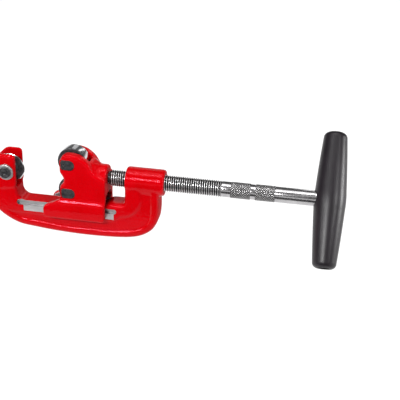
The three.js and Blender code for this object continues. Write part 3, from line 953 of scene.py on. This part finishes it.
def shoulders():
    """The casting between the full width of the cheeks and the round socket."""
    points = []

    def add(x, y, z):
        points.extend([(x, y, z), (x, -y, z)])

    add(44, CHEEK_HALF - 3.4, 20.5)
    add(44, CHEEK_HALF - 1.1, 17.6)
    add(44, CHEEK_HALF, 12)
    add(44, CHEEK_HALF, -27)
    add(57, CHEEK_HALF - 1.2, 7)
    add(BODY_RIGHT, CHEEK_HALF - 3, -27)
    add(BODY_RIGHT, CHEEK_HALF - 3, -4)
    add(BODY_RIGHT - 1.4, SOCKET_R, 3)
    for k in range(13):
        angle = math.pi / 2 * k / 12
        add(61, (SOCKET_R + 0.4) * math.cos(angle), (SOCKET_R + 0.4) * math.sin(angle))
    work = bmesh.new()
    for point in points:
        work.verts.new(tuple(c * MM for c in point))
    bmesh.ops.convex_hull(work, input=work.verts)
    mesh = bpy.data.meshes.new("shoulders")
    work.to_mesh(mesh)
    work.free()
    made = bpy.data.objects.new("shoulders", mesh)
    bpy.context.scene.collection.objects.link(made)
    with_modifier(made, "REMESH", mode="VOXEL", voxel_size=0.9 * MM)
    return with_modifier(made, "SMOOTH", factor=0.5, iterations=24)


def skirt(side):
    """The apron that hangs over one side of the frame's bar."""
    section = rounded_outline(
        [
            (SKIRT_INSIDE, -19.5, 0),
            (SKIRT_INSIDE, SKIRT_BOTTOM, 0.8),
            (SKIRT_HALF - 0.8, SKIRT_BOTTOM, 1.6),
            (SKIRT_HALF, -33.8, 3),
            (19.7, -26.2, 2.5),
            (CHEEK_HALF, -22.3, 4),
            (CHEEK_HALF - 0.2, -19.5, 0),
        ]
    )
    section = [Vector((side * p.x, p.y)) for p in section]
    bar = bar_along_x("skirt", section, SKIRT_LEFT - 2, SKIRT_RIGHT + 2)
    side_view = rounded_outline(
        [
            (SKIRT_LEFT, SKIRT_BOTTOM - 0.1, 3),
            (SKIRT_RIGHT, SKIRT_BOTTOM - 0.1, 3),
            (SKIRT_RIGHT, -22, 2.5),
            (60, -17, 0),
            (26, -17, 0),
            (CHEEK_LEFT - 1.2, -24, 5),
            (SKIRT_LEFT, -31, 5),
        ]
    )
    return boolean(bar, [plate("trim", side_view, 30)], "INTERSECT")


def channel():
    """Cutters for the room that the frame's bar and the rollers need inside the carriage."""
    inside = SKIRT_INSIDE
    floor = [(-inside, -60, 0), (inside, -60, 0)]
    low_section = rounded_outline([*floor, (inside, -24.5, 1.5), (-inside, -24.5, 1.5)])
    low = bar_along_x("channel", low_section, -80, 160)
    vault_section = rounded_outline(
        [*floor, (inside, -22, 0), (8, -16.5, 3), (-8, -16.5, 3), (-inside, -22, 0)]
    )
    vault = bar_along_x("vault", vault_section, ROLLER_SLOT_RIGHT + 4, 160)
    slot = box("roller_slot", (-20, -ROLLER_SLOT_HALF, -40), (ROLLER_SLOT_RIGHT, ROLLER_SLOT_HALF, 40))
    return [low, vault, slot]


def pin_seat_outline(z):
    """The seat of a roller pin's head, open at the cheek's left edge."""
    high = PIN_HEAD_HIGH / 2 + HOLE_SLACK
    right = PIN_HEAD_RIGHT + HOLE_SLACK
    round_end = high - 0.3
    return rounded_outline(
        [
            (10, z - high, 0),
            (right, z - high, round_end),
            (right, z + high, round_end),
            (10, z + high, 0),
        ]
    )


def carriage_finish(x, y, z, normal):
    """1 in the spindle's bore and on the skirts' machined inner faces, 0 elsewhere."""
    in_bore = x > SOCKET_FLOOR - 0.5 and math.hypot(y, z) < SOCKET_BORE_R + 0.1
    inner_face = abs(y) < SKIRT_INSIDE + 0.25 and z < -25 and abs(normal.y) > 0.9
    return in_bore or inner_face


def make_gibs():
    """The two steel strips that run in the frame's grooves."""
    low, high = RAIL_TOP + GIB_SLACK, GROOVE_TOP - GIB_SLACK
    corners = [(GIB_LEFT, low), (GIB_RIGHT, low), (GIB_RIGHT, high), (GIB_LEFT, high)]
    outline = rounded_outline([(x, z, 0.4) for x, z in corners])
    half = (GIB_OUTSIDE - GIB_INSIDE) / 2
    middle = (GIB_OUTSIDE + GIB_INSIDE) / 2
    gibs = [plate("gib", outline, half, 0.3, side * middle, 3) for side in (-1, 1)]
    finish_piece(joined("carriage_gibs", gibs), "carriage", MILLED)


def make_carriage():
    cheeks = plate("cheeks", cheek_outline(), CHEEK_HALF, CHEEK_EDGE)
    boolean(cheeks, [box("past_end", (BODY_RIGHT, -40, -60), (120, 40, 60))])
    profile = [(0, 46, 0), (SOCKET_R, 46, 0), (SOCKET_R, SOCKET_RIGHT, 2.2), (0, SOCKET_RIGHT, 0)]
    socket = turned("socket", softened(profile, step=12))
    solids = [cheeks, shoulders(), socket, skirt(-1), skirt(1)]
    body = cast("carriage_casting", solids, channel(), voxel=0.75, rounds=8)
    cutters = [turned("socket_bore", rod(SOCKET_BORE_R, SOCKET_FLOOR, 90, 0.1))]
    hole = rod(ROLLER_PIN_R + HOLE_SLACK, -60, 60)
    seat_middle = -CHEEK_HALF + PIN_SEAT_DEPTH - 4
    for z in (-ROLLER_Z, ROLLER_Z):
        cutters.append(turned("pin_hole", hole, "Y", (ROLLER_X, 0, z)))
        cutters.append(plate("pin_seat", pin_seat_outline(z), 4, middle=seat_middle))
    hole = rod(DOWEL_R + 0.15, -60, DOWEL_TOP + 0.2, 0.1)
    for y in (-DOWEL_Y, DOWEL_Y):
        cutters.append(turned("dowel_hole", hole, "Z", (DOWEL_X, y, 0)))
    boolean(body, cutters)
    by_face(body, [PAINT, MILLED], carriage_finish)
    finish_piece(body, "carriage", PAINT, ["carriage"])
    make_gibs()


# ---- rollers and their pins ----
def make_roller(name, height):
    bore = ROLLER_PIN_R + RUNNING
    half = ROLLER_HALF
    profile = softened(
        [
            (bore, 0, 0),
            (bore, -half + 0.4, 0),
            (bore + 0.5, -half, 0),
            (7.6, -half, 0.1),
            (7.9, -half + 0.5, 0.1),
            (10.2, -half + 0.5, 0.1),
            (10.6, -half, 0.1),
            (ROLLER_R, -half, 0.9),
            (ROLLER_R, half, 0.9),
            (10.6, half, 0.1),
            (10.2, half - 0.5, 0.1),
            (7.9, half - 0.5, 0.1),
            (7.6, half, 0.1),
            (bore + 0.5, half, 0),
            (bore, half - 0.4, 0),
            (bore, 0, 0),
        ]
    )
    made = turned(f"roller_{name}_steel", profile, "Y", (ROLLER_X, 0, height), sides=160)

    def rolling_face(x, y, z, normal):
        return abs(normal.y) < 0.3 and math.hypot(x - ROLLER_X, z - height) > 12

    by_face(made, [BLACKENED, POLISHED], rolling_face)
    finish_piece(made, f"roller_{name}", POLISHED, [f"roller_{name}"], sharp=25)


def make_roller_pin(name, z):
    front = -CHEEK_HALF + 0.3
    back = -CHEEK_HALF + PIN_SEAT_DEPTH - 0.3
    high = PIN_HEAD_HIGH / 2
    outline = rounded_outline(
        [
            (PIN_HEAD_LEFT, z - high, 3),
            (PIN_HEAD_RIGHT, z - high, high - 0.4),
            (PIN_HEAD_RIGHT, z + high, high - 0.4),
            (PIN_HEAD_LEFT, z + high, 3),
        ]
    )
    head = plate("head", outline, (back - front) / 2, 0.35, (front + back) / 2, 4)
    profile = [
        (0, back - 0.6, 0),
        (ROLLER_PIN_R, back - 0.6, 0),
        *shank_with_groove(ROLLER_PIN_R, CHEEK_HALF + 3.2, CHEEK_HALF + CLIP_SLACK),
    ]
    shank = turned("shank", softened(profile), "Y", (ROLLER_X, 0, z), sides=96)
    boolean(head, [shank], "UNION")
    if name == "upper":
        deep = front + 0.9
        above = front - 0.1
        dimple = softened([(0, deep, 0), (0.9, deep - 0.1, 0.3), (1.9, above, 0), (0, above, 0)])
        boolean(head, [turned("dimple", dimple, "Y", (PIN_HEAD_LEFT + 3.2, 0, z + 0.4), sides=48)])
    head.name = f"roller_pin_{name}_steel"
    finish_piece(head, "carriage", BLACKENED, [f"roller_pin_{name}"])
    start = CHEEK_HALF + CLIP_SLACK + 0.3
    node = f"roller_clip_{name}"
    make_snap_ring(f"roller_ring_{name}", ROLLER_PIN_R, ROLLER_X, z, start, "carriage", node)


# ---- spindle ----
def radial_surface(name, stations, sides, radius_at):
    """A solid about X whose radius is radius_at(x, angle), closed by flat ends."""
    points = []
    for x in stations:
        for k in range(sides):
            angle = 2 * math.pi * k / sides
            radius = radius_at(x, angle)
            points.append((x, radius * math.cos(angle), radius * math.sin(angle)))
    first = len(points)
    points.append((stations[0], 0, 0))
    points.append((stations[-1], 0, 0))
    last_ring = (len(stations) - 1) * sides
    faces = []
    for k in range(sides):
        j = (k + 1) % sides
        faces.append([first, j, k])
        faces.append([first + 1, last_ring + k, last_ring + j])
        for i in range(len(stations) - 1):
            faces.append([i * sides + k, i * sides + j, (i + 1) * sides + j, (i + 1) * sides + k])
    return mesh_object(name, points, faces)


def spread(start, end, step):
    """Even stations from start to end, about a step apart."""
    count = max(1, round((end - start) / step))
    return [start + (end - start) * k / count for k in range(count + 1)]


def thread_radius(x, angle):
    """A right-handed thread with flat crests and roots, which fades in and out at its ends."""
    phase = (x / THREAD_PITCH - angle / (2 * math.pi)) % 1
    slope = abs(phase - 0.5) * 2
    height = min(1, max(0, (slope - 0.16) / 0.66))
    radius = THREAD_ROOT_R + (THREAD_R - THREAD_ROOT_R) * height
    run_in = THREAD_ROOT_R + max(0, x - THREAD_LEFT - 0.3) * 0.9
    run_out = THREAD_ROOT_R + max(0, THREAD_RIGHT - 0.1 - x) * 0.7 + 0.6
    return min(radius, run_in, run_out)


def knurl_radius(start, end):
    """Diamonds left between two crossing sets of V grooves, which fade out at the band's ends."""

    def radius_at(x, angle):
        turns = angle / (2 * math.pi) * KNURL_STARTS
        u = (x / KNURL_PITCH + turns) % 1
        v = (x / KNURL_PITCH - turns) % 1
        groove = max(0, 1 - min(abs(u - 0.5), abs(v - 0.5)) * 3.8)
        fade = max(0, min(1, (x - start) / 0.7, (end - x) / 0.7))
        return KNURL_R - KNURL_DEEP * groove * fade - (KNURL_R - SHANK_R) * (1 - fade)

    return radius_at


def make_spindle():
    stations = spread(THREAD_LEFT, THREAD_RIGHT, THREAD_PITCH / 11)
    thread = radial_surface("spindle_thread", stations, THREAD_SIDES, thread_radius)
    finish_piece(thread, "spindle", THREAD, ["spindle"], sharp=50)
    profile = [
        (0, NOSE_LEFT, 0),
        (NOSE_R, NOSE_LEFT, 1.2),
        (NOSE_R, NECK_LEFT, 0.2),
        (NECK_R, NECK_LEFT, 0.4),
        (NECK_R, NECK_RIGHT, 0.4),
        (NOSE_R, NECK_RIGHT, 0.2),
        (NOSE_R, THREAD_LEFT, 0),
        (0, THREAD_LEFT, 0),
    ]
    # The nose is dark steel as painted shade in the gap between the socket and the thread.
    finish_piece(turned("spindle_nose", softened(profile)), "spindle", NOSE_SHADE_STEEL)
    (first_left, first_right), (second_left, second_right) = KNURLS
    plain = [
        ("spindle_collar", THREAD_RIGHT, first_left, SHANK_R, 0.35),
        ("spindle_band", first_right, second_left, SHANK_R - 0.25, 0.1),
        ("spindle_shank", second_right, SPINDLE_RIGHT, SHANK_R, 0.35),
    ]
    for name, start, end, radius, soft in plain:
        finish_piece(turned(name, rod(radius, start, end, soft)), "spindle", TURNED)
    for i, (start, end) in enumerate(KNURLS):
        stations = spread(start, end, 0.17)
        radius_at = knurl_radius(start, end)
        made = radial_surface(f"spindle_knurl_{i + 1}", stations, KNURL_SIDES, radius_at)
        finish_piece(made, "spindle", KNURLED, sharp=60)


# ---- handle ----
def grip_radius(at):
    """The grip's outer radius at a distance from its middle."""
    share = min(1, abs(at) / (HANDLE_HALF - 4))
    lost = 0.35 * share**2 + 0.65 * share * min(1, share * 6)
    return HANDLE_MIDDLE_R - (HANDLE_MIDDLE_R - HANDLE_END_R) * lost


def grip_profile():
    """The grip's outside, its two recessed ends and the hole for its steel core, closed on itself."""
    edge = 5.6
    end = HANDLE_HALF
    recess = PLUG_R + HOLE_SLACK
    half = [(grip_radius(at), at) for at in spread(0, end - edge, 2.2)]
    start_r = half[-1][0]
    for k in range(1, 9):
        angle = math.pi / 2 * k / 8
        radius = start_r - edge * 0.92 * (1 - math.cos(angle))
        half.append((radius, end - edge + edge * math.sin(angle)))
    half += [(recess + 0.25, end), (recess, end - 0.25), (recess, end - 6)]
    outer = [(r, -at) for r, at in half[:0:-1]] + half
    return [*outer, (HANDLE_CORE_HOLE_R, end - 6), (HANDLE_CORE_HOLE_R, -end + 6), outer[0]]


def make_handle_cap(name, side):
    """A plug with a shallow dish in its outer face."""
    face = side * (HANDLE_HALF - 1.1)
    back = side * (HANDLE_HALF - 5.6)
    dish = face - side * 0.8
    corners = [
        (0, dish, 0),
        (4.6, dish, 0.3),
        (5.2, face, 0.3),
        (PLUG_R, face, 0.5),
        (PLUG_R, back, 0.3),
        (0, back, 0),
    ]
    plug = onto_handle(turned(f"handle_cap_{name}", softened(corners), "Z", sides=96))
    finish_piece(plug, "spindle", PLASTIC, [f"handle_plug_{name}"])


def make_handle():
    made = onto_handle(turned("handle_moulding", grip_profile(), "Z"))
    hole = turned("spindle_hole", rod(SHANK_R + 0.25, 250, SPINDLE_RIGHT + 0.8, 0.1))
    boolean(made, [hole])
    finish_piece(made, "spindle", PLASTIC, ["handle_grip"])
    make_handle_cap("upper", 1)
    make_handle_cap("lower", -1)


# ---- light, floor and camera ----
def area_light(name, place, target, size, power):
    data = bpy.data.lights.new(name, "AREA")
    data.shape = "RECTANGLE"
    data.size, data.size_y = size
    data.energy = power
    made = bpy.data.objects.new(name, data)
    made.location = place
    made.rotation_euler = (Vector(target) - Vector(place)).to_track_quat("-Z", "Y").to_euler()
    bpy.context.scene.collection.objects.link(made)


def make_world():
    """A sky whose grey changes with the height of the direction."""
    world = bpy.data.worlds.new("studio")
    world.use_nodes = True
    background = world.node_tree.nodes["Background"]
    nodes, links = world.node_tree.nodes, world.node_tree.links
    direction = nodes.new("ShaderNodeSeparateXYZ")
    links.new(nodes.new("ShaderNodeTexCoord").outputs["Generated"], direction.inputs[0])
    height = nodes.new("ShaderNodeMapRange")
    height.inputs["From Min"].default_value = -1
    links.new(direction.outputs["Z"], height.inputs["Value"])
    links.new(ramp(nodes, links, height.outputs[0], SKY_TONES), background.inputs["Color"])
    background.inputs["Strength"].default_value = 1.0
    bpy.context.scene.world = world


def make_floor():
    """A wide floor that glows nearly white and still takes the cutter's shadow."""
    reach = FLOOR_REACH
    corners = [(x * reach, y * reach, FLOOR_Z) for x, y in ((-1, -1), (1, -1), (1, 1), (-1, 1))]
    floor = mesh_object("floor", corners, [[0, 1, 2, 3]])
    material, _, _, shader, _ = start_material("pale_floor")
    shader.inputs["Base Color"].default_value = (0.12, 0.12, 0.12, 1)
    shader.inputs["Roughness"].default_value = 0.8
    shader.inputs["Emission Color"].default_value = (1, 1, 1, 1)
    shader.inputs["Emission Strength"].default_value = FLOOR_GLOW
    floor.data.materials.append(material)


def make_dark_card():
    """A card on the floor in front that only reflections see, which gives the steel its dark bands."""
    low = FLOOR_Z + 1
    corners = [
        (CARD_LEFT, CARD_FAR, low),
        (CARD_RIGHT, CARD_FAR, low),
        (CARD_RIGHT, CARD_NEAR, low),
        (CARD_LEFT, CARD_NEAR, low),
    ]
    card = mesh_object("dark_card", corners, [[0, 1, 2, 3]])
    material, _, _, shader, _ = start_material("card_grey")
    shader.inputs["Base Color"].default_value = (0.02, 0.02, 0.02, 1)
    shader.inputs["Roughness"].default_value = 1.0
    card.data.materials.append(material)
    card.visible_camera = False
    card.visible_diffuse = False
    card.visible_shadow = False


def make_studio():
    make_world()
    for light in LIGHTS:
        area_light(*light)
    make_floor()
    make_dark_card()


def make_camera():
    data = bpy.data.cameras.new("camera")
    data.lens = CAMERA_LENS
    data.sensor_width = 36
    data.clip_start = 0.05
    made = bpy.data.objects.new("camera", data)
    made.location = CAMERA_PLACE
    made.rotation_euler = [math.radians(a) for a in CAMERA_TURN]
    bpy.context.scene.collection.objects.link(made)
    bpy.context.scene.camera = made


def dress_cad_nodes():
    """Inner pieces that keep their CAD shape get a finish of their own."""
    looks = {
        "thrust_disc": POLISHED,
        "spindle_dowel_front": BLACKENED,
        "spindle_dowel_back": BLACKENED,
        "handle_core": TURNED,
        "handle_lock_pin": BLACKENED,
    }
    for name, material in looks.items():
        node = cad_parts[name]
        node.data.materials.clear()
        node.data.materials.append(material)


make_camera()
make_frame()
make_wheel()
make_wheel_pin()
make_wheel_ring()
make_carriage()
for half_name, height in (("upper", ROLLER_Z), ("lower", -ROLLER_Z)):
    make_roller(half_name, height)
    make_roller_pin(half_name, height)
make_spindle()
make_handle()
dress_cad_nodes()
make_studio()
bpy.context.scene.view_settings.view_transform = "Standard"
